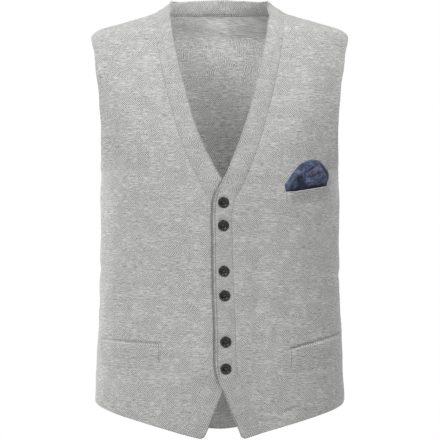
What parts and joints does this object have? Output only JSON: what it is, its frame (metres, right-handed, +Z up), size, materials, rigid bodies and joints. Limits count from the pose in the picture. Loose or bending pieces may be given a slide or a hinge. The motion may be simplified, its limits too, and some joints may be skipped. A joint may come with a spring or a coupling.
{
  "type": "waistcoat",
  "caption": "Sleeveless knitted waistcoat with a V neck, buttoned front band, welt pockets, a pocket puff and a pointed front hem, hollow and filled out as worn.",
  "frame": {"origin": "midway between the two shoulder seams, level with their neck ends, on the side line, where the wearer's shoulders carry the garment", "axes": "+Z up the body, -Y out of the front, +X to the wearer's left"},
  "size_m": [0.3944, 0.252, 0.685],
  "materials": {
    "knit_cloth": "matt heathered light grey knit",
    "knit_band": "matt heathered light grey knit, doubled",
    "puff_cloth": "soft navy print with a low sheen",
    "button_resin": "near-black, half gloss"
  },
  "bodies": {
    "root": {"front_left": "knit_cloth", "front_right": "knit_cloth", "back": "knit_cloth", "band_left": "knit_band", "band_right": "knit_band", "band_back": "knit_band", "welt_lower_left": "knit_cloth", "welt_lower_right": "knit_cloth", "welt_breast": "knit_cloth", "pocket_puff": "puff_cloth", "button_1": "button_resin", "button_2": "button_resin", "button_3": "button_resin", "button_4": "button_resin", "button_5": "button_resin", "button_6": "button_resin"}
  },
  "joints": []
}
